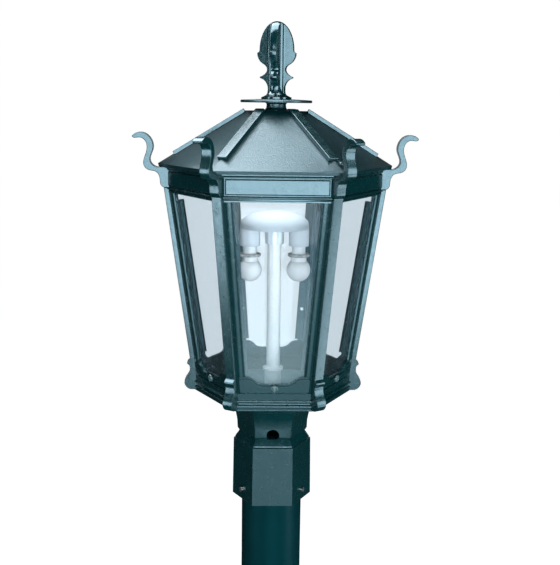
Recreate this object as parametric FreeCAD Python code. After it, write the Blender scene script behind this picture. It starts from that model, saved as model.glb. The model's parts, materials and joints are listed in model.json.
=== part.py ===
import FreeCAD, Part
import math
import os
from FreeCAD import Vector

# Post top lantern: a hexagonal, tapered, glazed lantern of cast aluminium on a slip-over post fitter.
# Millimetres. The origin is on the post's axis at the fitter's mouth, +Z is up and -Y is the front.
# Hexagon sizes are corner radii, measured from the axis to a corner; corners lie every 60 degrees from +X.
# A piece that repeats is drawn once, at the corner or on the face that looks towards +X, and turned into place.

# --- fitter sleeve, which slips over the post ---
post_diameter = 76.2
post_clearance = 0.4
sleeve_wall = 4.8
sleeve_draft = 1.0
sleeve_shoulder_level = 74.6
sleeve_groove_depth = 2.0
sleeve_groove_height = 2.4
sleeve_chamfer_height = 7.5
socket_roof = 8.5
waist_radius = 41.8
set_screw_radius = 3.0
set_screw_length = 7.0
set_screw_level = 13.0
set_screw_backset = 0.5
set_screw_angles = (90.0, 210.0, 330.0)

# --- neck casting, which carries the lantern on the sleeve ---
neck_lower_radius = 44.3
neck_lower_rise = 3.5
neck_middle_radius = 44.8
neck_middle_rise = 14.0
neck_upper_radius = 46.7
neck_upper_rise = 24.0
neck_wall = 4.0
spigot_gap = 1.0
spigot_wall = 3.7
spigot_clearance = 0.2
wire_way_radius = 26.0
cable_hole_radius = 7.8
cable_hole_rise = 5.4
cove_chords = 5
pan_rim_lap = 1.8
pan_rim_height = 2.2
pan_seat_width = 14.0

# --- tapered body ---
floor_level = 139.4
head_level = 387.0
floor_radius = 96.2
head_radius = 131.9
casting_wall = 3.5
floor_plate_thickness = 2.6
floor_plate_gap = 0.4

# --- bottom rails: moulding sizes are (proud of the face, height over the floor), bottom to top ---
sill_height = 40.6
foot_band = ((3.4, 0.0), (3.4, 2.6))
lower_bead = ((4.7, 4.2), (3.4, 5.8))
lower_cove = ((1.8, 6.1), (1.1, 7.6), (1.8, 9.1))
upper_bead = ((2.6, 9.2), (4.0, 10.6), (2.6, 12.0))
fascia = ((1.5, 12.2), (1.5, 19.9))
fascia_groove = ((-0.6, 20.3), (-0.6, 21.3), (0.0, 21.6))
ogee_end_margin = 17.5
ogee_run = 20.0
ogee_depth = 8.8
plate_drop = 3.0
plate_proud = 1.8
plate_end_margin = 9.5
plate_foot_rise = 22.3
glass_ledge_rise = 23.4
glass_ledge_height = 3.2
glass_ledge_lip = 0.8
corner_web = 2.5
rail_screw_head_radius = 4.6
rail_screw_face_radius = 3.0
rail_screw_head_height = 2.4
rail_screw_shank_radius = 2.3
rail_screw_drop = 2.2

# --- corner posts, strips and glazing ---
strip_width = 12.5
strip_thickness = 6.0
strip_proud = 2.1
strip_side_gap = 0.15
strip_head_lap = 5.5
stile_flat = 13.7
stile_reach = 16.7
stile_bevel = 1.6
glass_thickness = 3.0
glazing_gap = 0.1
glass_edge_gap = 0.3
glass_foot_gap = 0.2
glass_head_lap = 4.0
retainer_outer_margin = 9.6
retainer_inner_margin = 20.4
retainer_base = 1.6
retainer_lip = 1.0
retainer_lip_height = 1.7
retainer_foot_gap = 4.0
retainer_head_gap = 10.0
screw_clearance = 0.05

# --- frieze under the roof: moulding sizes are (proud of the face, height over the window head) ---
frieze_height = 30.5
frieze_wall = 2.8
sill_band = ((0.8, 0.0), (0.8, 1.5))
sill_quirk = ((-0.6, 1.9), (-0.6, 3.3))
sill_bead = ((0.8, 3.5), (2.3, 4.8), (0.8, 6.1))
field_level = -0.4
field_rise = 6.5
crown_band_height = 1.2
crown_cove_height = 3.1
crown_cove_foot = 1.6
crown_proud = 4.2
seat_ledge_width = 3.4
seat_ledge_height = 3.0
gusset_depth = 16.0
gusset_setback = 0.4
panel_margin_low = 7.8
panel_margin_high = 5.2
panel_end_margin = 8.2
panel_proud = 2.4
panel_bevel = 1.2

# --- horns ---
horn_foot_rise = 5.6
horn_foot_proud = 2.6
horn_leg_proud = 7.6
horn_eave_gap = 5.1
horn_width_share = 0.406
horn_height_share = 0.38
curve_tolerance = 0.12

# --- roof ---
eave_overhang = 10.1
eave_drip = 1.0
eave_height = 4.0
roof_top_radius = 37.6
roof_height = 68.0
roof_wall = 3.0
roof_top_wall = 4.0
roof_seat_width = 18.0
batten_width = 12.0
batten_height = 3.0
batten_foot_margin = 19.5
roof_screw_inset = 10.3
roof_screw_side = 10.0
roof_screw_shank_radius = 2.0
roof_screw_bite = 9.0
roof_screw_head_radius = 3.4
roof_screw_face_radius = 2.2
roof_screw_head_height = 2.2
roof_screw_recess = 0.8
roof_screw_corners = (300.0, 120.0)
roof_boss_radius = 5.4
roof_hole_clearance = 0.3

# --- cap disc and finial: finial sizes are (radius, height over the cap) ---
cap_foot_radius = 15.0
cap_neck_radius = 11.7
cap_neck_height = 10.1
cap_flare = 1.6
disc_radius = 43.0
disc_edge = 2.2
disc_dome = 1.4
finial_foot_radius = 18.2
finial_foot_height = 2.3
finial_shank = ((12.0, 2.3), (11.2, 6.3), (10.5, 12.6), (12.2, 18.5), (20.0, 24.4))
finial_collar = ((20.0, 26.0), (14.0, 29.4), (11.6, 33.9), (13.0, 38.2), (18.4, 42.2), (22.2, 47.3), (23.4, 52.0))
finial_lip = ((23.4, 53.6), (21.2, 54.9))
acorn_radius = 20.8
acorn_foot = 56.3
acorn_height = 33.9
acorn_chords = 10
fin_tip_half = 3.1
fin_root_half = 4.2
fin_root_reach = 9.6
fin_valley_reach = 8.1
fin_valley_chords = 4
fin_flare = ((17.4, 2.3), (12.6, 4.6), (9.4, 8.6), (8.2, 13.6))
finial_turn = -14.0
stud_radius = 4.0
stud_clearance = 0.15
stud_drop = 13.0
stud_bite = 28.0
stud_nut_radius = 7.5
stud_nut_height = 6.5

# --- lamp cluster ---
stem_radius = 8.5
stem_wall = 1.5
stem_height = 197.6
stem_foot_radius = 10.5
stem_flange_radius = 13.0
stem_flange_rise = 25.6
stem_flange_height = 3.0
stem_tail = 6.0
hub_radius = 11.5
hub_bite = 12.0
hub_roof = 10.6
cluster_bar_width = 26.0
cluster_bar_thickness = 1.6
canopy_radius = 42.0
canopy_height = 20.6
canopy_skirt = 4.8
canopy_wall = 1.2
canopy_chords = 4
holder_offset = 30.0
holder_neck_radius = 10.4
holder_cap_radius = 12.3
holder_cap_height = 25.1
holder_skirt_radius = 11.6
holder_skirt_height = 9.9
holder_ring_radius = 13.4
holder_ring_height = 3.6
bulb_radius = 14.6
bulb_drop = 31.4
bulb_neck_radius = 9.6
bulb_base_radius = 6.8
bulb_base_length = 16.0
bulb_chords = 6
lamp_gap = 0.2

# --- sizes that follow from the ones above ---
half_angle = math.radians(30.0)
apothem_share = math.cos(half_angle)
mitre = math.tan(half_angle)
socket_radius = post_diameter / 2.0 + post_clearance
sleeve_foot_radius = (socket_radius + sleeve_wall) / apothem_share
sleeve_top_radius = sleeve_foot_radius - sleeve_draft
sleeve_level = sleeve_shoulder_level + sleeve_groove_height + sleeve_chamfer_height
socket_depth = sleeve_level - socket_roof
spigot_radius = wire_way_radius + spigot_wall
spigot_length = socket_roof - spigot_gap
pan_rim_radius = floor_radius + pan_rim_lap
sill_level = floor_level + sill_height
crown_level = head_level + frieze_height
body_slope = (head_radius - floor_radius) / (head_level - floor_level)
face_tilt = math.degrees(math.atan(body_slope * apothem_share))
nose_depth = strip_thickness - strip_proud
nose_along = nose_depth / math.sin(half_angle)
land_depth = casting_wall + glass_thickness + 2.0 * glazing_gap
glass_margin = stile_flat + glass_edge_gap
retainer_back = land_depth + retainer_base
retainer_foot_level = sill_level + retainer_foot_gap
retainer_head_level = head_level - retainer_head_gap
rail_screw_level = sill_level - plate_drop - ogee_depth - rail_screw_drop
eave_radius = head_radius + eave_overhang
eave_level = crown_level + eave_height
roof_top_level = crown_level + roof_height
roof_slope = (roof_top_level - eave_level) / (eave_radius - roof_top_radius)
roof_face_slope = roof_slope / apothem_share
roof_seat_radius = eave_radius - roof_seat_width
disc_level = roof_top_level + cap_neck_height
disc_top = disc_level + disc_edge
finial_level = disc_top + disc_dome
stem_top_level = floor_level + stem_height
cluster_level = stem_top_level + hub_roof

corner_names = ("right", "rear_right", "rear_left", "left", "front_left", "front_right")
face_names = ("rear_right", "rear", "rear_left", "front_left", "front", "front_right")
set_screw_names = ("rear", "front_left", "front_right")
corner_turns = [60.0 * index for index in range(6)]
face_turns = [turn + 30.0 for turn in corner_turns]


def body_radius(level):
    """Corner radius of the tapered body's outer faces at a height."""
    return floor_radius + (level - floor_level) * body_slope


def apothem(level):
    """Distance from the axis to a tapered face at a height."""
    return body_radius(level) * apothem_share


def point_xz(pair):
    return Vector(pair[0], 0.0, pair[1])


def point_yz(pair):
    return Vector(0.0, pair[0], pair[1])


def outline(place, start, *steps):
    """Closed wire from corner to corner; a step that holds two points is an arc through the first."""
    edges = []
    here = start
    for step in steps + (start,):
        if isinstance(step[0], tuple):
            middle, end = step
            edges.append(Part.Arc(place(here), place(middle), place(end)).toShape())
        else:
            end = step
            edges.append(Part.makeLine(place(here), place(end)))
        here = end
    return Part.Wire(edges)


def polygon_face(points):
    return Part.Face(Part.makePolygon(points + [points[0]]))


def flat_sided(loops):
    """Solid with flat faces between loops of as many corners each, closed at both ends."""
    faces = [polygon_face(loops[0]), polygon_face(loops[-1])]
    for lower, upper in zip(loops, loops[1:]):
        count = len(lower)
        for index in range(count):
            following = (index + 1) % count
            faces.append(polygon_face([lower[index], lower[following], upper[following], upper[index]]))
    solid = Part.Solid(Part.makeShell(faces))
    if solid.Volume < 0.0:
        solid.reverse()
    return solid


def hexagon(radius, level):
    corners = []
    for index in range(6):
        angle = math.radians(60.0 * index)
        corners.append(Vector(radius * math.cos(angle), radius * math.sin(angle), level))
    return corners


def hexagonal(profile):
    """Hexagonal solid whose corner radius follows a profile of (radius, level) pairs."""
    return flat_sided([hexagon(radius, level) for radius, level in profile])


def six_sided_pin(profile):
    """Six-sided pin along +X whose corner radius follows a profile of (radius, x) pairs."""
    pin = hexagonal(profile)
    pin.rotate(Vector(0, 0, 0), Vector(0, 1, 0), 90.0)
    return pin


def cylinder(radius, low, high, x=0.0, y=0.0):
    return Part.makeCylinder(radius, high - low, Vector(x, y, low))


def turned(profile):
    """Round solid from a closed profile of (radius, level) pairs."""
    return polygon_face([point_xz(pair) for pair in profile]).revolve(Vector(0, 0, 0), Vector(0, 0, 1), 360.0)


def quarter_round(radius, level, rise, chords):
    """Points of a quarter ellipse from its rim at a level to the axis, so much higher or lower."""
    points = []
    for step in range(chords + 1):
        turn = math.radians(90.0 * step / chords)
        points.append((radius * math.cos(turn), level + rise * math.sin(turn)))
    points[-1] = (0.0, level + rise)
    return points


def curve_through(points):
    """Points along a smooth curve through the given ones, close enough to look smooth."""
    curve = Part.BSplineCurve()
    curve.interpolate(points)
    return curve.discretize(Deflection=curve_tolerance)


def about_axis(shape, degrees):
    copy = shape.copy()
    copy.rotate(Vector(0, 0, 0), Vector(0, 0, 1), degrees)
    return copy


def drawn_along_face(wire, reach):
    """Bar along the face that looks towards +X, from an outline in the XZ plane."""
    bar = Part.Face(wire).extrude(Vector(0, 2.0 * reach, 0))
    bar.translate(Vector(0, -reach, 0))
    return bar


def mitre_wedge(low, high):
    """The sixth of space that belongs to the face towards +X."""
    reach = 2.0 * eave_radius
    corners = [Vector(0, 0, low), Vector(reach, -reach * mitre, low), Vector(reach, reach * mitre, low)]
    return polygon_face(corners).extrude(Vector(0, 0, high - low))


def corner_point(level, along, inward, side):
    """Point at a corner on +X: so far along a face from the apex, and so far in from that face."""
    radial = body_radius(level) - along * math.sin(half_angle) - inward * math.cos(half_angle)
    across = along * math.cos(half_angle) - inward * math.sin(half_angle)
    return Vector(radial, side * across, level)


def corner_block(half, loops):
    """Upright block across a corner on +X, from (level, inner radius, outer radius) triples."""
    rings = []
    for level, inner, outer in loops:
        rings.append([
            Vector(inner, -half, level),
            Vector(outer, -half, level),
            Vector(outer, half, level),
            Vector(inner, half, level),
        ])
    return flat_sided(rings)


def at_both_corners(tool):
    """A corner tool made on +X, placed at both corners of the face towards +X."""
    return [about_axis(tool, -30.0), about_axis(tool, 30.0)]


def on_face(shape, across, level, inward):
    """Places a shape made along +X at the origin square to the tapered face, with +X outwards."""
    copy = shape.copy()
    copy.rotate(Vector(0, 0, 0), Vector(0, 1, 0), face_tilt)
    copy.translate(Vector(apothem(level) - inward, across, level))
    return copy


def fitter_sleeve():
    """Hexagonal sleeve with a round blind socket for the post and a grooved, chamfered top."""
    groove_radius = sleeve_top_radius - sleeve_groove_depth
    groove_top = sleeve_shoulder_level + sleeve_groove_height
    body = hexagonal([
        (sleeve_foot_radius, 0.0),
        (sleeve_top_radius, sleeve_shoulder_level),
        (groove_radius, sleeve_shoulder_level + sleeve_groove_height / 2.0),
        (groove_radius, groove_top),
        (waist_radius, sleeve_level),
    ])
    body = body.cut(cylinder(socket_radius, -1.0, socket_depth))
    body = body.cut(cylinder(spigot_radius + spigot_clearance, socket_depth - 1.0, sleeve_level + 1.0))
    for angle in set_screw_angles:
        hole = Part.makeCylinder(
            set_screw_radius + screw_clearance, sleeve_foot_radius, Vector(0, 0, set_screw_level), Vector(1, 0, 0)
        )
        body = body.cut(about_axis(hole, angle))
    return body


def set_screw():
    """Headless screw that bears on the post, backed off clear of the socket, pointing along +X."""
    tip = Vector(socket_radius + set_screw_backset, 0, set_screw_level)
    return Part.makeCylinder(set_screw_radius, set_screw_length, tip, Vector(1, 0, 0))


def neck_casting():
    """Hexagonal neck that flares into the shallow pan under the body, with a spigot below."""
    flare_level = sleeve_level + neck_upper_rise
    flare_rise = floor_level - pan_rim_height - flare_level
    wall = neck_wall / apothem_share
    inner_foot = flare_level + neck_wall / 2.0
    inner_rise = flare_rise - neck_wall / 4.0
    inner_spread = pan_rim_radius - pan_seat_width - neck_upper_radius + wall
    outer = [
        (waist_radius, sleeve_level),
        (neck_lower_radius, sleeve_level + neck_lower_rise),
        (neck_middle_radius, sleeve_level + neck_middle_rise),
        (neck_upper_radius, flare_level),
    ]
    inner = [
        (neck_lower_radius - wall, sleeve_level + neck_wall),
        (neck_upper_radius - wall, inner_foot),
    ]
    for step in range(1, cove_chords + 1):
        turn = math.radians(90.0 * step / cove_chords)
        spread = 1.0 - math.cos(turn)
        outer.append((
            neck_upper_radius + (pan_rim_radius - neck_upper_radius) * spread,
            flare_level + flare_rise * math.sin(turn),
        ))
        inner.append((
            neck_upper_radius - wall + inner_spread * spread,
            inner_foot + inner_rise * math.sin(turn),
        ))
    outer.append((pan_rim_radius, floor_level))
    inner.append((pan_rim_radius - pan_seat_width, floor_level + 1.0))
    body = hexagonal(outer).cut(hexagonal(inner))
    body = body.fuse(cylinder(spigot_radius, sleeve_level - spigot_length, sleeve_level))
    body = body.cut(cylinder(wire_way_radius, sleeve_level - spigot_length - 1.0, sleeve_level + neck_wall + 1.0))
    hole = Part.makeCylinder(
        cable_hole_radius, neck_upper_radius, Vector(0, 0, sleeve_level + cable_hole_rise), Vector(0, -1, 0)
    )
    spigot_space = cylinder(neck_upper_radius, sleeve_level - spigot_length, sleeve_level)
    return body.cut(hole.cut(spigot_space)).removeSplitter()


def floor_plate():
    """Flat plate that closes the pan and carries the lamp stem."""
    radius = floor_radius - (casting_wall + floor_plate_gap) / apothem_share
    top = floor_level + floor_plate_thickness
    plate = hexagonal([(radius, floor_level), (radius, top)])
    # its corners are cut off square, clear of the rails' thickened ends
    corner_reach = (floor_radius - 2.0 * strip_thickness - floor_plate_gap) / apothem_share
    plate = plate.common(about_axis(hexagonal([(corner_reach, floor_level), (corner_reach, top)]), 30.0))
    return plate.cut(cylinder(stem_radius + lamp_gap, floor_level - 1.0, top + 1.0))


def ogee_cutter(shoulder_level):
    """Everything above an ogee edge: a flat dip between two S-curves that rise to the shoulders."""
    half_outer = body_radius(sill_level) / 2.0 - ogee_end_margin
    half_flat = half_outer - ogee_run
    half_middle = half_outer - ogee_run / 2.0
    low = shoulder_level - ogee_depth
    middle_level = shoulder_level - ogee_depth / 2.0
    lid = shoulder_level + sill_height
    radius = (ogee_run ** 2 + ogee_depth ** 2) / (4.0 * ogee_depth)
    turn = math.asin(ogee_run / 2.0 / radius) / 2.0
    side = radius * math.sin(turn)
    drop = radius * (1.0 - math.cos(turn))
    wire = outline(
        point_yz,
        (-half_outer, lid),
        (-half_outer, shoulder_level),
        ((side - half_outer, shoulder_level - drop), (-half_middle, middle_level)),
        ((-half_flat - side, low + drop), (-half_flat, low)),
        (half_flat, low),
        ((half_flat + side, low + drop), (half_middle, middle_level)),
        ((half_outer - side, shoulder_level - drop), (half_outer, shoulder_level)),
        (half_outer, lid),
    )
    return Part.Face(wire).extrude(Vector(eave_radius, 0, 0))


def bottom_rail():
    """Cast rail under a pane: beaded mouldings below, a raised plate with an ogee top edge above."""
    def on(sizes):
        return [(apothem(floor_level + rise) + proud, floor_level + rise) for proud, rise in sizes]

    back = -casting_wall
    ledge = -land_depth - glass_ledge_lip
    foot = on(((back, 0.0),))[0]
    bead_low = on(lower_bead)
    cove = on(lower_cove)
    bead_high = on(upper_bead)
    inner_side = on((
        (0.0, sill_height),
        (back, sill_height),
        (back, glass_ledge_rise),
        (ledge, glass_ledge_rise),
        (ledge, glass_ledge_rise - glass_ledge_height),
        (back, glass_ledge_rise - 2.0 * glass_ledge_height),
    ))
    steps = on(foot_band) + [(bead_low[0], bead_low[1]), cove[0], (cove[1], cove[2])]
    steps += [bead_high[0], (bead_high[1], bead_high[2])]
    steps += on(fascia) + on(fascia_groove) + inner_side
    rail = drawn_along_face(outline(point_xz, foot, *steps), body_radius(sill_level))
    rail = rail.cut(ogee_cutter(sill_level))
    # the raised plate has the same ogee a little lower
    plate_foot = floor_level + plate_foot_rise
    plate_head = sill_level - plate_drop
    plate_corners = []
    for side, level in ((-1.0, plate_foot), (1.0, plate_foot), (1.0, plate_head), (-1.0, plate_head)):
        plate_corners.append(Vector(0, side * (body_radius(level) / 2.0 - plate_end_margin), level))
    plate = polygon_face(plate_corners).extrude(Vector(eave_radius, 0, 0))
    skin = on((
        (-1.0, plate_foot_rise),
        (plate_proud, plate_foot_rise),
        (plate_proud, sill_height),
        (-1.0, sill_height),
    ))
    plate = plate.common(drawn_along_face(outline(point_xz, *skin), body_radius(sill_level)))
    rail = rail.fuse(plate.cut(ogee_cutter(plate_head)))
    # thickened ends carry the corner posts
    web = corner_block(strip_width / 2.0 + strip_side_gap + corner_web, [
        (level, body_radius(level) - 2.0 * strip_thickness, body_radius(level) - nose_depth)
        for level in (floor_level, sill_level)
    ])
    for placed in at_both_corners(web):
        rail = rail.fuse(placed)
    rail = rail.common(mitre_wedge(floor_level - 1.0, sill_level + 1.0))
    slot = corner_block(strip_width / 2.0 + strip_side_gap, [
        (level, body_radius(level) - nose_depth, body_radius(level) + 3.0 * strip_thickness)
        for level in (floor_level - 1.0, sill_level + 1.0)
    ])
    for tool in at_both_corners(slot):
        rail = rail.cut(tool)
    hole_radius = rail_screw_shank_radius + screw_clearance
    hole = six_sided_pin([(hole_radius, -3.0 * casting_wall), (hole_radius, casting_wall)])
    rail = rail.cut(on_face(hole, 0.0, rail_screw_level, -plate_proud))
    return rail.removeSplitter()


def rail_screw():
    """Raised round head on the rail's plate, with its shank through the rail."""
    head = Part.makeCone(
        rail_screw_head_radius, rail_screw_face_radius, rail_screw_head_height, Vector(0, 0, 0), Vector(1, 0, 0)
    )
    shank = six_sided_pin([(rail_screw_shank_radius, -plate_proud - casting_wall), (rail_screw_shank_radius, 0.0)])
    return head.fuse(shank).removeSplitter()


def corner_post():
    """Corner bar with a flange on each side that frames the glass, and a rebate behind it."""
    loops = []
    for level in (sill_level, head_level):
        half_ring = [
            corner_point(level, nose_along, 0.0, 1.0),
            corner_point(level, stile_flat, 0.0, 1.0),
            corner_point(level, stile_reach, stile_bevel, 1.0),
            corner_point(level, stile_reach, casting_wall, 1.0),
            corner_point(level, stile_flat, casting_wall, 1.0),
            corner_point(level, stile_flat, land_depth, 1.0),
        ]
        apex = Vector(body_radius(level) - land_depth / apothem_share, 0, level)
        mirrored = [Vector(point.x, -point.y, point.z) for point in reversed(half_ring)]
        loops.append(half_ring + [apex] + mirrored)
    return flat_sided(loops)


def corner_strip():
    """Flat bar down a corner that ends in a beaded scroll foot."""
    def face(level):
        return body_radius(level) + strip_proud

    def foot(proud, rise):
        return Vector(face(floor_level) + proud, 0, floor_level + rise)

    head = head_level + strip_head_lap
    outer = [Vector(face(head), 0, head), foot(5.6, 38.6), foot(9.4, 35.4)]
    outer += curve_through([
        foot(9.4, 33.2), foot(6.4, 30.2), foot(6.0, 26.6), foot(7.4, 20.4),
        foot(11.4, 14.4), foot(12.8, 8.4), foot(9.6, 2.4), foot(2.2, 0.0),
    ])
    back = [
        Vector(body_radius(floor_level) - nose_depth, 0, floor_level),
        Vector(body_radius(head) - nose_depth, 0, head),
    ]
    bar = polygon_face(outer + back).extrude(Vector(0, strip_width, 0))
    bar.translate(Vector(0, -strip_width / 2.0, 0))
    return bar


def pane():
    """Flat sheet of glass, wider at the top, held in the rebates."""
    loops = []
    for level in (floor_level + glass_ledge_rise + glass_foot_gap, head_level + glass_head_lap):
        half = body_radius(level) / 2.0 - glass_margin
        outer = apothem(level) - casting_wall - glazing_gap
        inner = outer - glass_thickness
        loops.append([
            Vector(outer, -half, level),
            Vector(outer, half, level),
            Vector(inner, half, level),
            Vector(inner, -half, level),
        ])
    return flat_sided(loops)


def retainer(side):
    """Channel-section strip that holds one edge of the glass from inside."""
    lips = retainer_back + retainer_lip_height
    section = [
        (retainer_outer_margin, land_depth),
        (retainer_inner_margin, land_depth),
        (retainer_inner_margin, lips),
        (retainer_inner_margin - retainer_lip, lips),
        (retainer_inner_margin - retainer_lip, retainer_back),
        (retainer_outer_margin + retainer_lip, retainer_back),
        (retainer_outer_margin + retainer_lip, lips),
        (retainer_outer_margin, lips),
    ]
    loops = []
    for level in (retainer_foot_level, retainer_head_level):
        half = body_radius(level) / 2.0
        loops.append([
            Vector(apothem(level) - inward, side * (half - margin), level) for margin, inward in section
        ])
    return flat_sided(loops)


def frieze():
    """Upright panel between the windows and the roof, with a raised field between two mouldings."""
    plane = head_radius * apothem_share

    def on(sizes):
        return [(plane + proud, head_level + rise) for proud, rise in sizes]

    ledge = -frieze_wall - seat_ledge_width
    band_foot = frieze_height - crown_band_height
    cove_foot = band_foot - crown_cove_height + 0.4
    foot = on(((-frieze_wall, 0.0),))[0]
    bead = on(sill_bead)
    cove_top = (crown_proud, band_foot)
    cove_middle = ((crown_cove_foot + 0.8), band_foot - 0.7)
    cove = on(((crown_cove_foot, cove_foot), cove_middle, cove_top))
    steps = on(sill_band) + on(sill_quirk) + [bead[0], (bead[1], bead[2])]
    steps += on(((field_level, field_rise), (field_level, cove_foot - 0.4)))
    steps += [cove[0], (cove[1], cove[2])]
    steps += on((
        (crown_proud, frieze_height),
        (ledge, frieze_height),
        (ledge, frieze_height - seat_ledge_height),
        (-frieze_wall, frieze_height - 2.0 * seat_ledge_height),
    ))
    body = drawn_along_face(outline(point_xz, foot, *steps), head_radius)
    field_half = head_radius / 2.0 - panel_end_margin
    low = head_level + panel_margin_low
    high = crown_level - panel_margin_high
    loops = []
    for proud, inset in ((-1.0, 0.0), (panel_proud - panel_bevel, 0.0), (panel_proud, panel_bevel)):
        loops.append([
            Vector(plane + proud, -field_half + inset, low + inset),
            Vector(plane + proud, field_half - inset, low + inset),
            Vector(plane + proud, field_half - inset, high - inset),
            Vector(plane + proud, -field_half + inset, high - inset),
        ])
    body = body.fuse(flat_sided(loops))
    # solid corners inside take the horn's leg and the roof screws
    gusset_foot = head_level + 2.0 * sill_bead[0][1]
    inside = head_radius - gusset_setback / apothem_share
    corner = hexagonal([(inside, gusset_foot), (inside, crown_level)])
    gusset = corner.common(corner_block(head_radius, [
        (gusset_foot, head_radius - gusset_depth, head_radius),
        (crown_level, head_radius - gusset_depth, head_radius),
    ]))
    for placed in at_both_corners(gusset):
        body = body.fuse(placed)
    body = body.common(mitre_wedge(head_level - 1.0, crown_level + 1.0))
    slot = corner_block(strip_width / 2.0 + strip_side_gap, [
        (level, head_radius - nose_depth, head_radius + 3.0 * strip_thickness)
        for level in (head_level - 1.0, crown_level + 1.0)
    ])
    for tool in at_both_corners(slot):
        body = body.cut(tool)
    return body.removeSplitter()


def horn():
    """S-curved flat horn: a leg down the frieze's corner, a belly under the eave and a tip that turns out."""
    back = head_radius - nose_depth
    foot_level = head_level + horn_foot_rise
    head = crown_level - screw_clearance

    def leg(proud, level):
        return Vector(head_radius + proud, 0, level)

    def curl(out, up):
        """A point in hundredths of the horn's width and height from where it clears the eave."""
        return Vector(eave_radius + horn_eave_gap + out * horn_width_share, 0, crown_level + up * horn_height_share)

    under = curve_through([
        leg(horn_foot_proud, foot_level),
        leg(horn_leg_proud - 0.6, foot_level + 4.5),
        leg(horn_leg_proud, foot_level + 11.0),
        curl(-7.5, -16), curl(15.5, -10), curl(27.5, 2), curl(29.5, 17), curl(22.5, 40), curl(18.5, 62),
        curl(23.5, 81), curl(38.5, 91), curl(58.5, 90.5), curl(62.5, 94.5),
    ])
    over = curve_through([
        curl(60, 99), curl(50.5, 106), curl(35.5, 108.5), curl(19.5, 103), curl(6.5, 89), curl(0, 71),
        curl(0, 57), curl(5, 42), curl(9.5, 27), curl(8, 15), curl(0.5, 5), curl(-10.5, -0.5), leg(7.0, head),
    ])
    bar = polygon_face([Vector(back, 0, head), Vector(back, 0, foot_level)] + under + over)
    bar = bar.extrude(Vector(0, strip_width, 0))
    bar.translate(Vector(0, -strip_width / 2.0, 0))
    return bar


def roof_outside():
    return hexagonal([
        (eave_radius - eave_drip, crown_level),
        (eave_radius, eave_level),
        (roof_top_radius, roof_top_level),
    ])


def roof_screw_place(corner):
    """Place of a roof screw: inward from a corner of the frieze and a little to one side."""
    angle = math.radians(corner)
    along = head_radius - roof_screw_inset
    x = along * math.cos(angle) - roof_screw_side * math.sin(angle)
    y = along * math.sin(angle) + roof_screw_side * math.cos(angle)
    return x, y


def roof_screw_seat():
    """Height of the flat sunk into the roof for a screw's head."""
    x, y = roof_screw_place(0.0)
    out = x * math.cos(half_angle) + y * math.sin(half_angle)
    return eave_level + (eave_radius * apothem_share - out) * roof_face_slope - roof_screw_recess


def roof_casting():
    """Hollow six-sided roof with a flat seat inside its eave and a flat top for the cap."""
    wall_run = roof_wall / math.sin(math.atan(roof_face_slope)) / apothem_share
    cavity_low = crown_level + roof_wall
    cavity_high = roof_top_level - roof_top_wall

    def cavity_radius(level):
        return eave_radius - (level - eave_level) / roof_slope - wall_run

    foot_radius = min(cavity_radius(cavity_low), eave_radius - eave_drip - roof_wall / apothem_share)
    cavity = hexagonal([(foot_radius, cavity_low), (cavity_radius(cavity_high), cavity_high)])
    mouth = hexagonal([(roof_seat_radius, crown_level - 1.0), (roof_seat_radius, cavity_low + 1.0)])
    roof = roof_outside().cut(cavity).cut(mouth)
    seat = roof_screw_seat()
    for corner in roof_screw_corners:
        x, y = roof_screw_place(corner)
        boss = hexagonal([(roof_boss_radius, crown_level), (roof_boss_radius, seat)])
        recess = hexagonal([(roof_boss_radius, seat), (roof_boss_radius, roof_top_level)])
        for shape in (boss, recess):
            shape.translate(Vector(x, y, 0))
        hole = cylinder(roof_screw_shank_radius + roof_hole_clearance, crown_level - 1.0, seat + 1.0, x, y)
        roof = roof.fuse(boss).cut(recess).cut(hole)
    roof = roof.cut(cylinder(stud_radius + stud_clearance, cavity_high - 1.0, roof_top_level + 1.0))
    return roof.removeSplitter()


def hip_batten():
    """Flat batten on the hip over +X, cut square at its foot, lying on both roof faces."""
    slope = math.degrees(math.atan(roof_slope))
    run = (eave_radius - batten_foot_margin - roof_top_radius) / math.cos(math.radians(slope))
    bar = Part.makeBox(run, batten_width, 3.0 * batten_height)
    bar.translate(Vector(0, -batten_width / 2.0, -2.0 * batten_height))
    bar.rotate(Vector(0, 0, 0), Vector(0, 1, 0), slope)
    bar.translate(Vector(roof_top_radius, 0, roof_top_level))
    beyond_top = corner_block(batten_width, [
        (eave_level, roof_top_radius, eave_radius),
        (roof_top_level + 2.0 * batten_height, roof_top_radius, eave_radius),
    ])
    return bar.common(beyond_top).cut(roof_outside())


def roof_screw(corner):
    """Captive screw with a raised head that draws the roof down on the frieze."""
    x, y = roof_screw_place(corner)
    seat = roof_screw_seat()
    head = Part.makeCone(roof_screw_head_radius, roof_screw_face_radius, roof_screw_head_height, Vector(x, y, seat))
    shank = cylinder(roof_screw_shank_radius, crown_level - roof_screw_bite, seat, x, y)
    return head.fuse(shank).removeSplitter()


def roof_cap():
    """Round neck and thin domed disc between the roof and the finial."""
    bore = stud_radius + stud_clearance
    return turned([
        (bore, roof_top_level),
        (cap_foot_radius, roof_top_level),
        (cap_neck_radius, roof_top_level + cap_neck_height / 2.0),
        (cap_neck_radius, disc_level - cap_flare),
        (cap_neck_radius + cap_flare, disc_level),
        (disc_radius, disc_level),
        (disc_radius, disc_top),
        (finial_foot_radius, finial_level),
        (bore, finial_level),
    ])


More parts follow.
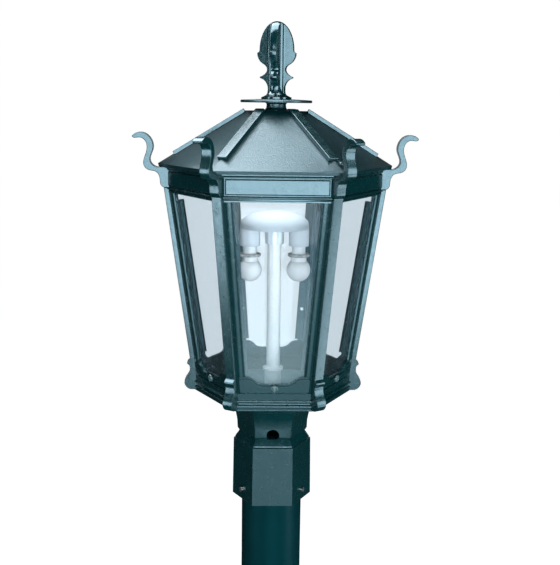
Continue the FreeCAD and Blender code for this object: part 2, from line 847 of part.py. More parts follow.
def fin_plan(level):
    """Cross-shaped outline of four tapering fins with hollow rounded valleys between them."""
    reach = 2.0 * acorn_radius
    points = []
    for index in range(4):
        quadrant = [Vector(reach, fin_tip_half, level)]
        for step in range(fin_valley_chords + 1):
            share = step / fin_valley_chords
            turn = math.radians(90.0 * share)
            hollow = (fin_root_reach + fin_root_half) / math.sqrt(2.0) - fin_valley_reach
            radius = math.hypot(fin_root_reach, fin_root_half) * (1.0 - math.sin(math.pi * share))
            radius += (fin_valley_reach + hollow * abs(2.0 * share - 1.0)) * math.sin(math.pi * share)
            start = math.atan2(fin_root_half, fin_root_reach)
            turn = start + (math.radians(90.0) - 2.0 * start) * share
            quadrant.append(Vector(radius * math.cos(turn), radius * math.sin(turn), level))
        quadrant.append(Vector(fin_tip_half, reach, level))
        for point in quadrant:
            turn = math.radians(90.0 * index)
            points.append(Vector(
                point.x * math.cos(turn) - point.y * math.sin(turn),
                point.x * math.sin(turn) + point.y * math.cos(turn),
                level,
            ))
    return points


def finial():
    """Cast finial: four crossed fins with an acorn's outline over a sharp collar, on a round foot."""
    bore = stud_radius + stud_clearance
    bore_top = finial_level + stud_bite + stud_clearance
    foot_top = finial_level + finial_foot_height

    def flowing(sizes):
        curve = curve_through([point_xz((radius, finial_level + rise)) for radius, rise in sizes])
        return [(point.x, point.z) for point in curve]

    profile = [(0.0, foot_top)] + flowing(finial_shank) + flowing(finial_collar)
    profile += [(radius, finial_level + rise) for radius, rise in finial_lip]
    profile += quarter_round(acorn_radius, finial_level + acorn_foot, acorn_height, acorn_chords)
    top = finial_level + acorn_foot + acorn_height + 1.0
    fins = turned(profile).common(polygon_face(fin_plan(foot_top)).extrude(Vector(0, 0, top - foot_top)))
    foot = [(0.0, finial_level), (finial_foot_radius, finial_level), (finial_foot_radius, foot_top)]
    foot += [(radius, finial_level + rise) for radius, rise in fin_flare]
    foot.append((0.0, finial_level + fin_flare[-1][1]))
    body = fins.fuse(turned(foot)).removeSplitter()
    return about_axis(body.cut(cylinder(bore, finial_level - 1.0, bore_top)), finial_turn)


def finial_stud():
    """Threaded rod that ties the finial and the cap to the roof, with its nut under the roof's top."""
    under = roof_top_level - roof_top_wall
    rod = cylinder(stud_radius, under - stud_drop, finial_level + stud_bite)
    nut = hexagonal([(stud_nut_radius, under - stud_nut_height), (stud_nut_radius, under)])
    return rod.fuse(nut).removeSplitter()


def lamp_stem():
    """Tube that stands in the floor plate, with a foot and a flange brazed round it."""
    foot_level = floor_level + floor_plate_thickness
    flange_level = floor_level + stem_flange_rise
    flange_top = flange_level + stem_flange_height
    bore = stem_radius - stem_wall
    return turned([
        (bore, floor_level - stem_tail),
        (stem_radius, floor_level - stem_tail),
        (stem_radius, foot_level),
        (stem_foot_radius, foot_level),
        (stem_foot_radius, flange_level),
        (stem_flange_radius, flange_level),
        (stem_flange_radius, flange_top),
        (stem_radius, flange_top),
        (stem_radius, stem_top_level),
        (bore, stem_top_level),
    ])


def cluster_bar():
    """Flat cross bar with a hub that screws on the stem; the holders hang from its ends."""
    half = canopy_radius - canopy_wall - lamp_gap
    top = cluster_level + cluster_bar_thickness
    bar = Part.makeBox(2.0 * half, cluster_bar_width, cluster_bar_thickness)
    bar.translate(Vector(-half, -cluster_bar_width / 2.0, cluster_level))
    bar = bar.common(cylinder(half, cluster_level, top))
    hub_foot = stem_top_level - hub_bite
    bar = bar.fuse(cylinder(hub_radius, hub_foot, cluster_level))
    bar = bar.cut(cylinder(stem_radius + lamp_gap, hub_foot - 1.0, stem_top_level))
    return bar.cut(cylinder(stem_radius - stem_wall, stem_top_level - 1.0, top + 1.0))


def dome_canopy():
    """Spun dome that shades the lamp holders, open underneath."""
    low = cluster_level - canopy_skirt + cluster_bar_thickness
    shoulder = low + canopy_skirt
    rise = canopy_height - canopy_skirt
    inner = canopy_radius - canopy_wall
    outside = quarter_round(canopy_radius, shoulder, rise, canopy_chords)
    inside = quarter_round(inner, shoulder, rise - canopy_wall, canopy_chords)
    return turned([(inner, low), (canopy_radius, low)] + outside + inside[::-1])


def lamp_holder():
    """Round holder under the cluster bar: necked cap clear of the canopy, skirt and a shade ring below."""
    foot = cluster_level - holder_cap_height - holder_skirt_height - holder_ring_height
    ring_top = foot + holder_ring_height
    cap_foot = ring_top + holder_skirt_height
    socket = bulb_base_radius + lamp_gap
    socket_top = foot + bulb_base_length + lamp_gap
    cap_top = cluster_level + cluster_bar_thickness - canopy_skirt - 2.0 * lamp_gap
    return turned([
        (0.0, cluster_level),
        (holder_neck_radius, cluster_level),
        (holder_neck_radius, cap_top),
        (holder_cap_radius, cap_top),
        (holder_cap_radius, cap_foot),
        (holder_skirt_radius, cap_foot),
        (holder_skirt_radius, ring_top),
        (holder_ring_radius, ring_top),
        (holder_ring_radius, foot),
        (socket, foot),
        (socket, socket_top),
        (0.0, socket_top),
    ])


def bulb():
    """Short frosted bulb with a round end, its base up in the holder."""
    foot = cluster_level - holder_cap_height - holder_skirt_height - holder_ring_height
    equator = foot - bulb_drop + bulb_radius
    profile = [(0.0, equator - bulb_radius)]
    for step in range(1, bulb_chords + 1):
        turn = math.radians(-90.0 + 140.0 * step / bulb_chords)
        profile.append((bulb_radius * math.cos(turn), equator + bulb_radius * math.sin(turn)))
    return turned(profile + [
        (bulb_neck_radius, foot - lamp_gap),
        (bulb_base_radius, foot - lamp_gap),
        (bulb_base_radius, foot + bulb_base_length),
        (0.0, foot + bulb_base_length),
    ])


def save(name, shape):
    shape.exportStep("parts/" + name + ".step")


def save_group(name, shapes):
    save(name, Part.Compound(shapes))


os.makedirs("parts", exist_ok=True)

save("fitter_sleeve", fitter_sleeve())
for name, turn in zip(set_screw_names, set_screw_angles):
    save("set_screw_" + name, about_axis(set_screw(), turn))
save("neck_casting", neck_casting())
save("floor_plate", floor_plate())

rail = bottom_rail()
glass = pane()
crown = frieze()
screw_holes = []
for corner in roof_screw_corners:
    x, y = roof_screw_place(corner)
    radius = roof_screw_shank_radius + screw_clearance
    screw_holes.append(cylinder(radius, crown_level - roof_screw_bite - 1.0, crown_level + 1.0, x, y))
for name, turn in zip(face_names, face_turns):
    save("bottom_rail_" + name, about_axis(rail, turn))
    save("pane_" + name, about_axis(glass, turn))
    save("frieze_" + name, about_axis(crown, turn).cut(Part.Compound(screw_holes)))

post = corner_post()
strip = corner_strip()
curl_horn = horn()
for name, turn in zip(corner_names, corner_turns):
    save("corner_post_" + name, about_axis(post, turn))
    save("corner_strip_" + name, about_axis(strip, turn))
    save("horn_" + name, about_axis(curl_horn, turn))

retainers = [retainer(-1.0), retainer(1.0)]
save_group("glass_retainers", [about_axis(bar, turn) for turn in face_turns for bar in retainers])
sill_screw = on_face(rail_screw(), 0.0, rail_screw_level, -plate_proud)
save_group("rail_screws", [about_axis(sill_screw, turn) for turn in face_turns])

save("roof_casting", roof_casting())
save_group("hip_battens", [about_axis(hip_batten(), turn) for turn in corner_turns])
save("roof_screw_front", roof_screw(roof_screw_corners[0]))
save("roof_screw_rear", roof_screw(roof_screw_corners[1]))
save("roof_cap", roof_cap())
save("finial", finial())
save("finial_stud", finial_stud())

save("lamp_stem", lamp_stem())
save("cluster_bar", cluster_bar())
save("dome_canopy", dome_canopy())
for name, lamp_piece in (("lamp_holders", lamp_holder()), ("bulbs", bulb())):
    pair = []
    for side in (-1.0, 1.0):
        copy = lamp_piece.copy()
        copy.translate(Vector(side * holder_offset, 0, 0))
        pair.append(copy)
    save_group(name, pair)
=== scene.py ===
import json
import math

import bpy
from mathutils import Matrix, Vector

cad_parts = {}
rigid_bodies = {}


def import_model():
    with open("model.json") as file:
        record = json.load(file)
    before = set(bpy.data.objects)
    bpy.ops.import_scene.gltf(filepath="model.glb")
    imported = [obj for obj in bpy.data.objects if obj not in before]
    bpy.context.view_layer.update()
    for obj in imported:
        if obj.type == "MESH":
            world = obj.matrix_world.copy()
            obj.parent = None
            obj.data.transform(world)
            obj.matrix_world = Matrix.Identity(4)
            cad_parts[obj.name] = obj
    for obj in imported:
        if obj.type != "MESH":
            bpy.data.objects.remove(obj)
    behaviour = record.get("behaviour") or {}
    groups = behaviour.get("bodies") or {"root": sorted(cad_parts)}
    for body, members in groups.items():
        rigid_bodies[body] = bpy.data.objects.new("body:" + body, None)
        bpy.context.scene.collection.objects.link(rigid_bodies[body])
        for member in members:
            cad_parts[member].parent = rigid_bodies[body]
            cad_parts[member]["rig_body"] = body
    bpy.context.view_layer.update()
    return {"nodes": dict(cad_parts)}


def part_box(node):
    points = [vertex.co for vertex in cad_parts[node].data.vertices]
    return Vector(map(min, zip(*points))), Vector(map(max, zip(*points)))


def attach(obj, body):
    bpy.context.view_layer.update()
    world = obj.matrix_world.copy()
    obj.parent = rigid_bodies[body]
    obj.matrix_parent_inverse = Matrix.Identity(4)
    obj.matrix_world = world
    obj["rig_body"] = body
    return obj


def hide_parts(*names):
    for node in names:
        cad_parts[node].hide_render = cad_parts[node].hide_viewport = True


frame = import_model()


# Camera: just left of the lantern's front, level with the top of its roof, looking down on it.
# The photograph leans by nearly a degree, so the camera does too.
camera_lens = bpy.data.cameras.new("camera")
camera_lens.lens = 60.1
camera_lens.sensor_width = 36.0
camera = bpy.data.objects.new("camera", camera_lens)
bpy.context.scene.collection.objects.link(camera)
heading = Matrix.Rotation(math.radians(-1.75), 4, "Z")
tilt = Matrix.Rotation(math.radians(79.21), 4, "X")
lean = Matrix.Rotation(math.radians(0.80), 4, "Z")
camera_place = (-0.0277, -1.1487, 0.495)
camera.matrix_world = Matrix.Translation(camera_place) @ heading @ tilt @ lean
bpy.context.scene.camera = camera
bpy.context.scene.view_settings.view_transform = "Standard"


# Studio: twelve flat lamps, a pale floor a metre below the lantern and a white card behind it.
# Some lamps show only in the paint's gloss and others light only matt faces, so that each is set alone.
def soft_box(name, place, aim, width, height, radiance, lights="both", tint=(0.95, 0.98, 1.0)):
    """Flat area light that faces a point; radiance is how bright its face is, lights what it serves."""
    box = bpy.data.lights.new(name, "AREA")
    box.shape = "RECTANGLE"
    box.size = width
    box.size_y = height
    box.energy = radiance * math.pi * width * height
    box.color = tint
    lamp = bpy.data.objects.new(name, box)
    lamp.location = place
    lamp.rotation_euler = (Vector(aim) - Vector(place)).to_track_quat("-Z", "Y").to_euler()
    lamp.visible_camera = False
    lamp.visible_diffuse = lights != "gloss"
    lamp.visible_glossy = lights != "matt"
    bpy.context.scene.collection.objects.link(lamp)


soft_box("overhead_box", (-0.45, 0.1, 1.75), (0.0, 0.0, 0.45), 1.3, 2.4, 13.0, "gloss")
soft_box("overhead_fill", (-0.3, 0.1, 1.8), (0.0, 0.0, 0.45), 1.3, 1.7, 1.8, "matt")
soft_box("front_box", (0.15, -2.2, 0.35), (0.0, 0.0, 0.35), 1.5, 1.1, 10.0)
soft_box("front_wing", (-0.85, -2.2, 0.55), (0.0, 0.0, 0.5), 0.5, 0.9, 8.5, "gloss")
soft_box("left_box", (-1.8, -1.0, 0.1), (0.0, 0.0, 0.35), 0.4, 1.3, 11.0, "gloss")
soft_box("right_box", (1.75, -0.93, 0.5), (0.0, 0.0, 0.4), 0.7, 1.2, 8.0, "gloss")
soft_box("right_fill", (1.3, -1.7, 0.5), (0.0, 0.0, 0.3), 0.8, 0.8, 4.5, "matt")
soft_box("inside_fill", (0.0, 0.0, 0.412), (0.0, 0.001, 0.1), 0.15, 0.15, 2.6, "matt", (0.92, 0.98, 1.0))
soft_box("low_front_card", (0.1, -1.45, -0.01), (0.0, 0.0, 0.4), 0.9, 0.4, 3.0)
soft_box("floor_sheen", (0.1, -1.5, -0.62), (0.0, 0.0, 0.3), 1.0, 0.5, 1.5, "gloss", (0.9, 0.97, 1.0))
soft_box("low_right_card", (0.95, -0.36, -0.2), (0.0, 0.0, 0.4), 0.35, 0.6, 6.0)
soft_box("rear_left_box", (-0.75, 2.2, 1.7), (0.0, 0.0, 0.45), 0.9, 0.8, 0.3, tint=(0.4, 0.92, 1.0))


def computed(tree, operation, *values):
    """Outcome of a sum on values, each a number or another node's output."""
    node = tree.nodes.new("ShaderNodeMath")
    node.operation = operation
    for socket, value in zip(node.inputs, values):
        if isinstance(value, float):
            socket.default_value = value
        else:
            tree.links.new(value, socket)
    return node.outputs[0]


def blended(tree, share, first, second):
    """Shader that runs from the first to the second with a share."""
    mix = tree.nodes.new("ShaderNodeMixShader")
    for socket, source in zip(mix.inputs, (share, first, second)):
        tree.links.new(source, socket)
    return mix.outputs[0]


def mixed(tree, factor, low, high):
    """Colour that runs from low to high with a factor; either may be a socket."""
    mix = tree.nodes.new("ShaderNodeMix")
    mix.data_type = "RGBA"
    mix.clamp_factor = True
    tree.links.new(factor, mix.inputs["Factor"])
    for socket, colour in ((mix.inputs[6], low), (mix.inputs[7], high)):
        if isinstance(colour, tuple):
            socket.default_value = colour + (1.0,)
        else:
            tree.links.new(colour, socket)
    return mix.outputs[2]


world = bpy.data.worlds.new("studio")
bpy.context.scene.world = world
world.use_nodes = True
sky = world.node_tree
room = sky.nodes["Background"]
room.inputs["Color"].default_value = (0.9, 0.95, 1.0, 1.0)
room.inputs["Strength"].default_value = 0.32
card = sky.nodes.new("ShaderNodeBackground")
card.inputs["Color"].default_value = (1.0, 1.0, 1.0, 1.0)
card.inputs["Strength"].default_value = 1.0
dark_room = sky.nodes.new("ShaderNodeBackground")
dark_room.inputs["Color"].default_value = (0.15, 0.75, 0.9, 1.0)
dark_room.inputs["Strength"].default_value = 0.03
ray = sky.nodes.new("ShaderNodeLightPath")
seen = computed(sky, "MAXIMUM", ray.outputs["Is Camera Ray"], ray.outputs["Is Transmission Ray"])
unseen = blended(sky, ray.outputs["Is Glossy Ray"], room.outputs[0], dark_room.outputs[0])
whole = blended(sky, seen, unseen, card.outputs[0])
sky.links.new(whole, sky.nodes["World Output"].inputs["Surface"])
mirrored_shade = (0.01, 0.03, 0.035)


def studio_card(name, place, width, height, turn, shade, glow, mirrored_glow):
    """White card or floor that takes the lantern's shadow, and is darker where the paint mirrors it."""
    bpy.ops.object.select_all(action="DESELECT")
    bpy.ops.mesh.primitive_plane_add(size=1.0, location=place, rotation=turn)
    bpy.ops.transform.resize(value=(width, 1.0, height) if turn[0] else (width, height, 1.0))
    board = bpy.context.object
    board.name = name
    material = bpy.data.materials.new(name)
    material.use_nodes = True
    tree = material.node_tree
    face = tree.nodes["Principled BSDF"]
    face.inputs["Roughness"].default_value = 0.9
    face.inputs["Specular IOR Level"].default_value = 0.1
    face.inputs["Emission Color"].default_value = (1.0, 1.0, 1.0, 1.0)
    path = tree.nodes.new("ShaderNodeLightPath")
    in_gloss = path.outputs["Is Glossy Ray"]
    tree.links.new(mixed(tree, in_gloss, (shade, shade, shade), mirrored_shade), face.inputs["Base Color"])
    direct = computed(tree, "MAXIMUM", path.outputs["Is Camera Ray"], path.outputs["Is Transmission Ray"])
    seen_glow = computed(tree, "MULTIPLY", direct, glow)
    whole_glow = computed(tree, "MULTIPLY_ADD", in_gloss, mirrored_glow, seen_glow)
    tree.links.new(whole_glow, face.inputs["Emission Strength"])
    board.data.materials.append(material)


upright = (math.radians(90.0), 0.0, 0.0)
studio_card("floor", (0.0, 0.0, -1.0), 14.0, 14.0, (0.0, 0.0, 0.0), 0.6, 0.85, 0.01)
studio_card("backdrop", (0.1, 3.2, 0.2), 2.6, 1.8, upright, 0.02, 0.99, 0.5)


# Post: the round steel post that the lantern's fitter slips over, painted dark blue-green.
# It isn't part of the lantern; it stands on the floor and ends inside the socket.
def noise_on(tree, scale, detail=2.0):
    """Noise on the piece's own coordinates, in lumps per metre."""
    place = tree.nodes.get("place")
    if place is None:
        place = tree.nodes.new("ShaderNodeTexCoord")
        place.name = "place"
    noise = tree.nodes.new("ShaderNodeTexNoise")
    noise.inputs["Scale"].default_value = scale
    noise.inputs["Detail"].default_value = detail
    tree.links.new(place.outputs["Object"], noise.inputs["Vector"])
    return noise.outputs["Fac"]


def ramp(tree, value, start, end, low, high):
    """Number that runs from low to high while a value runs from start to end."""
    reach = tree.nodes.new("ShaderNodeMapRange")
    reach.inputs["From Min"].default_value = start
    reach.inputs["From Max"].default_value = end
    reach.inputs["To Min"].default_value = low
    reach.inputs["To Max"].default_value = high
    tree.links.new(value, reach.inputs["Value"])
    return reach.outputs["Result"]


def between(tree, noise, low, high):
    """Number that runs from low to high with a noise."""
    return ramp(tree, noise, 0.32, 0.68, low, high)


def worn_and_highlit_edges(tree, most):
    """How near an edge or corner a place is, up to most, where handling wears the finish and a painted
    edge highlight goes.
    """
    soft = tree.nodes.new("ShaderNodeBevel")
    soft.samples = 4
    soft.inputs["Radius"].default_value = 0.0007
    flat = tree.nodes.new("ShaderNodeNewGeometry")
    turn = tree.nodes.new("ShaderNodeVectorMath")
    turn.operation = "DOT_PRODUCT"
    tree.links.new(soft.outputs["Normal"], turn.inputs[0])
    tree.links.new(flat.outputs["Normal"], turn.inputs[1])
    return ramp(tree, turn.outputs["Value"], 0.99, 0.86, 0.0, most)


def finish_of(name, dark, light, mottle, gloss, lumps, worn_and_highlit=None, **settings):
    """Finish whose colour drifts from dark to light, with its gloss range and (scale, depth) lumps, and
    edges painted paler where asked.
    """
    material = bpy.data.materials.new(name)
    material.use_nodes = True
    tree = material.node_tree
    surface = tree.nodes["Principled BSDF"]
    colour = mixed(tree, between(tree, noise_on(tree, mottle, 4.0), 0.0, 1.0), dark, light)
    # Paler edges: partly worn paint, partly a painted edge highlight.
    if worn_and_highlit is not None:
        colour = mixed(tree, worn_and_highlit_edges(tree, worn_and_highlit[0]), colour, worn_and_highlit[1])
    tree.links.new(colour, surface.inputs["Base Color"])
    tree.links.new(between(tree, noise_on(tree, mottle * 6.0), *gloss), surface.inputs["Roughness"])
    lie = None
    for scale, depth in lumps:
        bump = tree.nodes.new("ShaderNodeBump")
        bump.inputs["Strength"].default_value = 1.0
        bump.inputs["Distance"].default_value = depth
        tree.links.new(noise_on(tree, scale), bump.inputs["Height"])
        if lie is not None:
            tree.links.new(lie, bump.inputs["Normal"])
        lie = bump.outputs["Normal"]
    tree.links.new(lie, surface.inputs["Normal"])
    for socket, value in settings.items():
        surface.inputs[socket.replace("_", " ")].default_value = value
    return material


post_paint = finish_of(
    "post_paint", (0.0001, 0.0165, 0.0205), (0.0004, 0.0205, 0.0250), 30.0, (0.34, 0.46),
    ((420.0, 0.00004), (1900.0, 0.00002)), Specular_Tint=(0.2, 0.8, 1.0, 1.0), Specular_IOR_Level=0.1,
)


def turned(name, profile, sides):
    """Closed round piece from (radius, height) pairs in millimetres, drawn up ring by ring."""
    radius, level = profile[0]
    bpy.ops.object.select_all(action="DESELECT")
    bpy.ops.mesh.primitive_circle_add(
        vertices=sides, radius=radius / 1000.0, fill_type="NGON", location=(0.0, 0.0, level / 1000.0)
    )
    piece = bpy.context.object
    piece.name = name
    bpy.ops.object.transform_apply(location=True, rotation=True, scale=True)
    bpy.ops.object.mode_set(mode="EDIT")
    bpy.ops.mesh.select_all(action="SELECT")
    for next_radius, next_level in profile[1:]:
        rise = (next_level - level) / 1000.0
        spread = next_radius / radius
        centre = (0.0, 0.0, next_level / 1000.0)
        bpy.ops.mesh.extrude_region_move(TRANSFORM_OT_translate={"value": (0.0, 0.0, rise)})
        bpy.ops.transform.resize(value=(spread, spread, 1.0), center_override=centre)
        radius, level = next_radius, next_level
    bpy.ops.mesh.select_all(action="SELECT")
    bpy.ops.mesh.normals_make_consistent(inside=False)
    bpy.ops.object.mode_set(mode="OBJECT")
    return piece


def ease_edges(piece, width, smooth_angle=34.0):
    """Breaks the sharp edges of a piece and shades its curves smooth."""
    bpy.ops.object.select_all(action="DESELECT")
    piece.select_set(True)
    bpy.context.view_layer.objects.active = piece
    if width > 0.0:
        bpy.ops.object.modifier_add(type="BEVEL")
        edge = piece.modifiers[-1]
        edge.width = width / 1000.0
        edge.segments = 2
        edge.limit_method = "ANGLE"
        edge.angle_limit = math.radians(smooth_angle)
        edge.use_clamp_overlap = True
        bpy.ops.object.modifier_apply(modifier=edge.name)
    bpy.ops.object.shade_smooth_by_angle(angle=math.radians(smooth_angle))
    bpy.ops.object.modifier_add(type="WEIGHTED_NORMAL")
    flats = piece.modifiers[-1]
    flats.keep_sharp = True
    flats.weight = 55
    bpy.ops.object.modifier_apply(modifier=flats.name)


post_radius = 38.1
post = turned("post", [(post_radius, -1000.0), (post_radius, -400.0), (post_radius, 73.0)], sides=96)
ease_edges(post, 1.0)
post.data.materials.append(post_paint)


# Fitter sleeve: cast aluminium hexagon with a round socket for the post, satin dark green enamel.
# The casting's edges are broken by the paint, which wears thin along them, and they are painted pale:
# partly wear, partly a painted edge highlight.
enamel_tint = (0.53, 0.81, 0.95, 1.0)
# Pale edge colour: partly worn paint, partly a painted edge highlight.
bare_and_highlit_edges = (0.35, (0.04, 0.10, 0.12))
enamel = finish_of(
    "satin_enamel", (0.0001, 0.0170, 0.0190), (0.0004, 0.0215, 0.0240), 26.0, (0.20, 0.28),
    ((330.0, 0.00005), (1500.0, 0.00003)), worn_and_highlit=bare_and_highlit_edges,
    Specular_Tint=enamel_tint, Specular_IOR_Level=0.8,
)


def eased_copy(node, width, material):
    """Copy of a cast or cut piece with its edges broken, which stands in for the piece."""
    source = frame["nodes"][node]
    piece = bpy.data.objects.new(node + "_finished", source.data.copy())
    bpy.context.scene.collection.objects.link(piece)
    bpy.ops.object.select_all(action="DESELECT")
    piece.select_set(True)
    bpy.context.view_layer.objects.active = piece
    bpy.ops.object.mode_set(mode="EDIT")
    bpy.ops.mesh.select_all(action="SELECT")
    bpy.ops.mesh.remove_doubles(threshold=0.000003)
    bpy.ops.mesh.dissolve_limited(angle_limit=math.radians(0.6))
    bpy.ops.object.mode_set(mode="OBJECT")
    ease_edges(piece, width)
    piece.data.materials.clear()
    piece.data.materials.append(material)
    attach(piece, source["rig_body"])
    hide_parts(node)


eased_copy("fitter_sleeve", 0.9, enamel)


# Set screws: three headless steel screws at the sleeve's foot, driven by a hexagon socket.
# They bear on the post and hold the lantern straight on it.
zinc = finish_of(
    "zinc_plate", (0.30, 0.33, 0.35), (0.46, 0.49, 0.5), 160.0, (0.28, 0.45),
    ((900.0, 0.00002), (4200.0, 0.00001)), Metallic=1.0,
)


def drive_hole(piece, sides, radius, depth, level):
    """Cuts a driving socket down into a head that points up, or a slot where sides is 2."""
    bpy.ops.object.select_all(action="DESELECT")
    centre = (0.0, 0.0, level / 1000.0)
    if sides == 2:
        slot_length = radius * 4.0
        slot_width = radius * 0.36
        bpy.ops.mesh.primitive_cube_add(size=0.001, location=centre)
        bpy.ops.transform.resize(value=(slot_length, slot_width, depth * 2.0))
    else:
        bpy.ops.mesh.primitive_cylinder_add(
            vertices=sides, radius=radius / 1000.0, depth=depth / 500.0, location=centre
        )
    punch = bpy.context.object
    bpy.ops.object.select_all(action="DESELECT")
    piece.select_set(True)
    bpy.context.view_layer.objects.active = piece
    bpy.ops.object.modifier_add(type="BOOLEAN")
    cut = piece.modifiers[-1]
    cut.operation = "DIFFERENCE"
    cut.object = punch
    bpy.ops.object.modifier_apply(modifier=cut.name)
    bpy.data.objects.remove(punch)


def placed_copies(model, name, places):
    """Copies of a small piece at each place, joined as one piece; the model is used up."""
    copies = []
    for place in places:
        copy = bpy.data.objects.new(name, model.data.copy())
        copy.data.transform(place)
        bpy.context.scene.collection.objects.link(copy)
        copies.append(copy)
    bpy.data.objects.remove(model)
    bpy.ops.object.select_all(action="DESELECT")
    for copy in copies:
        copy.select_set(True)
    bpy.context.view_layer.objects.active = copies[0]
    if len(copies) > 1:
        bpy.ops.object.join()
    copies[0].name = name
    return copies[0]


def outward(turn, reach, level, down=0.0):
    """Place whose up points out from the axis at an angle, dipped by so many degrees; millimetres."""
    about = Matrix.Rotation(math.radians(turn), 4, "Z")
    lay = Matrix.Rotation(math.radians(90.0 + down), 4, "Y")
    return about @ Matrix.Translation((reach / 1000.0, 0.0, level / 1000.0)) @ lay


set_screw_reach = 39.0
set_screw_level = 13.0
set_screw_length = 7.0
for name, turn in (("rear", 90.0), ("front_left", 210.0), ("front_right", 330.0)):
    screw = turned("set_screw", [
        (1.9, 0.0), (2.5, 0.5), (2.5, 6.6), (2.9, 6.8), (2.9, set_screw_length),
    ], sides=24)
    drive_hole(screw, 6, 1.7, 2.4, set_screw_length)
    place = outward(turn, set_screw_reach, set_screw_level)
    screw = placed_copies(screw, "set_screw_" + name + "_finished", [place])
    ease_edges(screw, 0.0)
    screw.data.materials.append(zinc)
    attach(screw, "set_screw_" + name + "_body")
    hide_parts("set_screw_" + name)


# Neck: hexagonal aluminium casting that flares into the pan under the body, with a cable hole in front.
# Satin enamel as on the sleeve.
eased_copy("neck_casting", 0.6, enamel)


# Floor plate: plated sheet steel that closes the pan and carries the lamp stem.
# The plating is dull and looks blue-green between the painted castings.
plate_zinc = finish_of(
    "plated_sheet", (0.14, 0.27, 0.30), (0.22, 0.36, 0.39), 90.0, (0.35, 0.5),
    ((500.0, 0.00003), (2600.0, 0.00001)), Metallic=0.5,
)
eased_copy("floor_plate", 0.3, plate_zinc)


# Bottom rails: six aluminium castings with beads and a raised plate, in the same enamel.
# They are ogee-edged at the top and mitred at the corners.
faces = ("rear_right", "rear", "rear_left", "front_left", "front", "front_right")
for face in faces:
    eased_copy("bottom_rail_" + face, 0.5, enamel)


# Rail screws: one round-headed slotted screw through each rail's plate.
# They are dark and glossy, and the edges of their heads are painted pale: partly bare metal, partly a
# painted highlight.
screw_gloss = finish_of(
    "bright_screw", (0.02, 0.06, 0.07), (0.05, 0.11, 0.12), 300.0, (0.12, 0.22),
    ((1200.0, 0.00002), (5000.0, 0.00001)), worn_and_highlit=(0.5, (0.35, 0.42, 0.44)),
)
foot_corner = 96.2
foot_level = 139.4
top_corner = 131.9
top_level = 387.0
body_slope = (top_corner - foot_corner) / (top_level - foot_level)
face_share = math.cos(math.radians(30.0))
rail_dip = math.degrees(math.atan(body_slope * face_share))


def corner_reach(level):
    """Distance in millimetres from the axis to the tapered body's corners at a height."""
    return foot_corner + (level - foot_level) * body_slope


def face_reach(level):
    """Distance in millimetres from the axis to the tapered body's faces at a height."""
    return corner_reach(level) * face_share


rail_screw_level = 166.0
rail_plate_rise = 1.8
rail_screw_reach = face_reach(rail_screw_level) + rail_plate_rise
rail_screw_head = 2.4
rail_screw = turned("rail_screw", [
    (2.3, -5.2), (2.3, 0.0), (4.6, 0.0), (4.6, 0.5), (4.3, 1.2), (3.6, 1.9), (2.4, 2.3),
    (0.9, rail_screw_head),
], sides=32)
drive_hole(rail_screw, 2, 2.6, 0.8, rail_screw_head)
rail_screws = placed_copies(rail_screw, "rail_screws_finished", [
    outward(30.0 + 60.0 * index, rail_screw_reach, rail_screw_level, rail_dip) for index in range(6)
])
ease_edges(rail_screws, 0.0)
rail_screws.data.materials.append(screw_gloss)
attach(rail_screws, "lantern_body")
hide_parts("rail_screws")


# Corner posts: drawn aluminium bars with a flange on each side that frames the glass.
# Corner strips: flat bars that cover them and end in a beaded scroll foot.
corners = ("right", "rear_right", "rear_left", "left", "front_left", "front_right")
for corner in corners:
    eased_copy("corner_post_" + corner, 0.5, enamel)
    eased_copy("corner_strip_" + corner, 0.7, enamel)


# Panes: six sheets of clear glass with a faint blue tint, seated in the rebates of the frame.
# A thin pale film lies on them, thicker towards the foot of the front pane: partly dust, partly a painted
# reflection veil.
def where(tree):
    """The piece's own X, Y and Z at a place, in metres."""
    split = tree.nodes.new("ShaderNodeSeparateXYZ")
    tree.links.new(tree.nodes["place"].outputs["Object"], split.inputs["Vector"])
    return split.outputs


glass = bpy.data.materials.new("clear_glass")
glass.use_nodes = True
pane_tree = glass.node_tree
pane_tree.nodes.remove(pane_tree.nodes["Principled BSDF"])
clear = pane_tree.nodes.new("ShaderNodeBsdfTransparent")
clear.inputs["Color"].default_value = (0.896, 0.929, 0.950, 1.0)
sheen = pane_tree.nodes.new("ShaderNodeBsdfGlossy")
sheen.inputs["Color"].default_value = (0.92, 0.97, 1.0, 1.0)
pane_tree.links.new(between(pane_tree, noise_on(pane_tree, 14.0), 0.015, 0.05), sheen.inputs["Roughness"])
ripple = pane_tree.nodes.new("ShaderNodeBump")
ripple.inputs["Strength"].default_value = 1.0
ripple.inputs["Distance"].default_value = 0.00008
pane_tree.links.new(noise_on(pane_tree, 18.0, 0.0), ripple.inputs["Height"])
pane_tree.links.new(ripple.outputs["Normal"], sheen.inputs["Normal"])
facing = pane_tree.nodes.new("ShaderNodeLayerWeight")
glancing = computed(pane_tree, "POWER", facing.outputs["Facing"], 5.0)
mirror_share = computed(pane_tree, "MULTIPLY_ADD", glancing, 0.4, 0.012)
polished = blended(pane_tree, mirror_share, clear.outputs[0], sheen.outputs[0])
# Pale film over the glass: partly dust, partly a painted reflection veil.
dust_and_veil_film = pane_tree.nodes.new("ShaderNodeBsdfDiffuse")
dust_and_veil_film.inputs["Color"].default_value = (0.6, 0.88, 0.95, 1.0)
pane_place = where(pane_tree)
